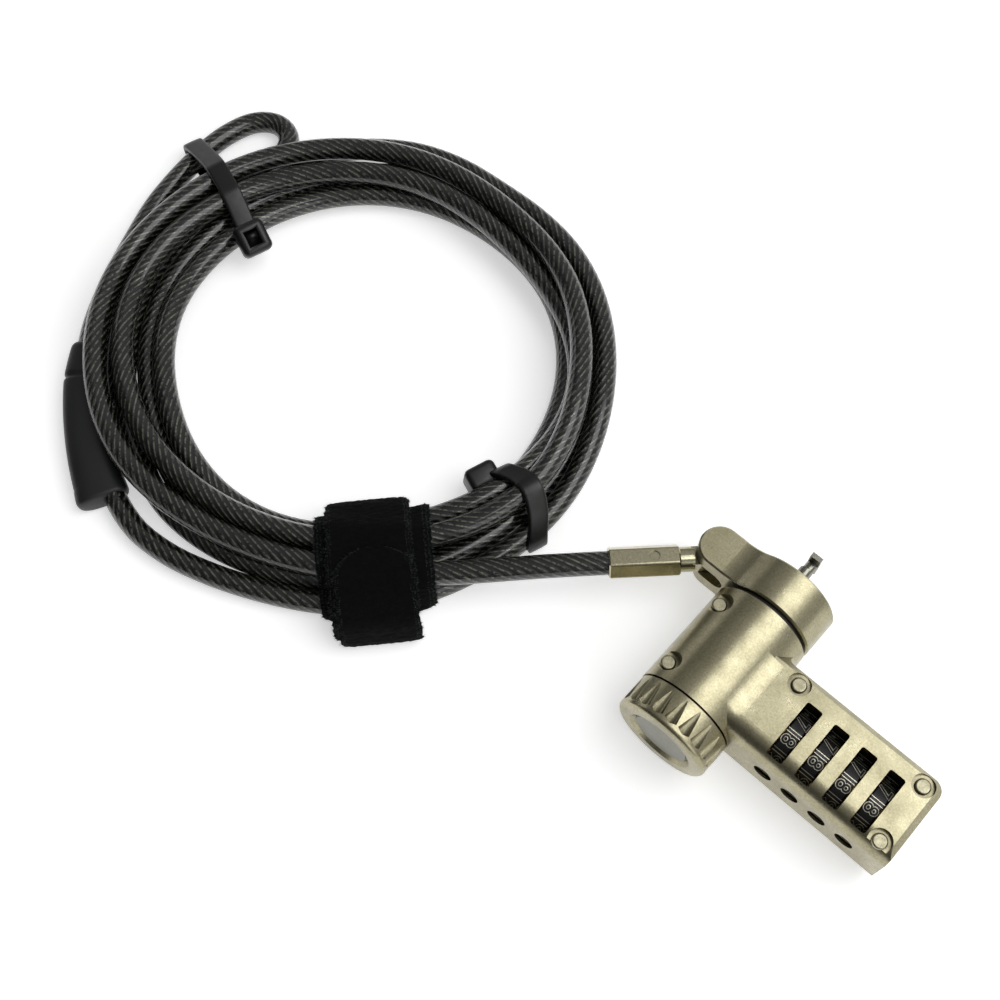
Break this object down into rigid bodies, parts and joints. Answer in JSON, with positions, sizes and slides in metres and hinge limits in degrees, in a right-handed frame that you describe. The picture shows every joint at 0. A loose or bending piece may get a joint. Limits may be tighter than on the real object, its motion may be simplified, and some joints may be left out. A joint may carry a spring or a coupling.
{
  "type": "laptop cable lock",
  "caption": "Keyless laptop lock: barrel with turning T-bar nose, side housing of number dials, swivelling fork and a coiled covered steel cable that ends in an eye",
  "frame": {"origin": "on the barrel axis, in the face that rests on the locked device", "axes": "+Y out along the nose into the device, +X along the row of dials, +Z out of the dial windows"},
  "size_m": [0.2219, 0.1214, 0.021],
  "materials": {
    "nickel_plated_zinc": "satin nickel plate on die-cast zinc",
    "polished_steel": "turned and polished",
    "nickel_plated_ferrule": "bright nickel plate",
    "grey_disc": "matt",
    "black_dial": "matt, with bright raised marks",
    "brass_ring": "turned",
    "black_nylon": "moulded nylon",
    "moulded_sleeve": "matt moulded vinyl",
    "covered_cable": "clear smoke vinyl over steel rope",
    "hook_and_loop": "brushed loop pile"
  },
  "bodies": {
    "root": {"front_shell": "nickel_plated_zinc", "back_shell": "nickel_plated_zinc", "shell_rivets": "polished_steel", "nose_guide": "polished_steel", "arm_washer": "black_nylon", "detent_spring": "polished_steel", "shaft_spring": "polished_steel"},
    "knob_group": {"knob": "nickel_plated_zinc", "knob_end_disc": "grey_disc", "lock_spindle": "polished_steel", "t_bar": "polished_steel"},
    "shaft_group": {"dial_shaft": "polished_steel"},
    "dial_group_1": {"dial_1": "black_dial", "code_ring_1": "brass_ring"},
    "dial_group_2": {"dial_2": "black_dial", "code_ring_2": "brass_ring"},
    "dial_group_3": {"dial_3": "black_dial", "code_ring_3": "brass_ring"},
    "dial_group_4": {"dial_4": "black_dial", "code_ring_4": "brass_ring"},
    "arm_group": {"swivel_arm": "nickel_plated_zinc", "pivot_pin": "polished_steel"},
    "cable_group": {"cable_end_fitting": "polished_steel", "cable_ferrule": "nickel_plated_ferrule", "cable_lead": "covered_cable", "cable_coil": "covered_cable", "cable_tail": "covered_cable", "cable_eye": "covered_cable", "eye_sleeve": "moulded_sleeve", "cable_tie_1": "black_nylon", "cable_tie_2": "black_nylon", "wrap_strap": "hook_and_loop"}
  },
  "joints": [
    {"name": "knob_turn", "type": "hinge", "parent": "root", "child": "knob_group", "pos_m": [0, 0, 0], "axis": [0, 1, 0], "range_deg": [0, 90]},
    {"name": "shaft_slide", "type": "slide", "parent": "root", "child": "shaft_group", "axis": [1, 0, 0], "range_m": [-0.0026, 0], "deforming": ["shaft_spring"]},
    {"name": "dial_1_turn", "type": "hinge", "parent": "root", "child": "dial_group_1", "pos_m": [0.01865, -0.0263, 0], "axis": [1, 0, 0], "continuous": true},
    {"name": "dial_2_turn", "type": "hinge", "parent": "root", "child": "dial_group_2", "pos_m": [0.02503, -0.0263, 0], "axis": [1, 0, 0], "continuous": true},
    {"name": "dial_3_turn", "type": "hinge", "parent": "root", "child": "dial_group_3", "pos_m": [0.03141, -0.0263, 0], "axis": [1, 0, 0], "continuous": true},
    {"name": "dial_4_turn", "type": "hinge", "parent": "root", "child": "dial_group_4", "pos_m": [0.03779, -0.0263, 0], "axis": [1, 0, 0], "continuous": true},
    {"name": "arm_swivel", "type": "hinge", "parent": "root", "child": "arm_group", "pos_m": [0, 0, 0], "axis": [0, 1, 0], "range_deg": [-120, 120]},
    {"name": "cable_pivot", "type": "hinge", "parent": "arm_group", "child": "cable_group", "pos_m": [-0.0152, -0.00535, 0], "axis": [0, 0, 1], "range_deg": [-135, 45]}
  ],
  "couplings": [
    {"joint": "shaft_slide", "follows": "knob_turn", "m_per_rad": -0.001655}
  ]
}
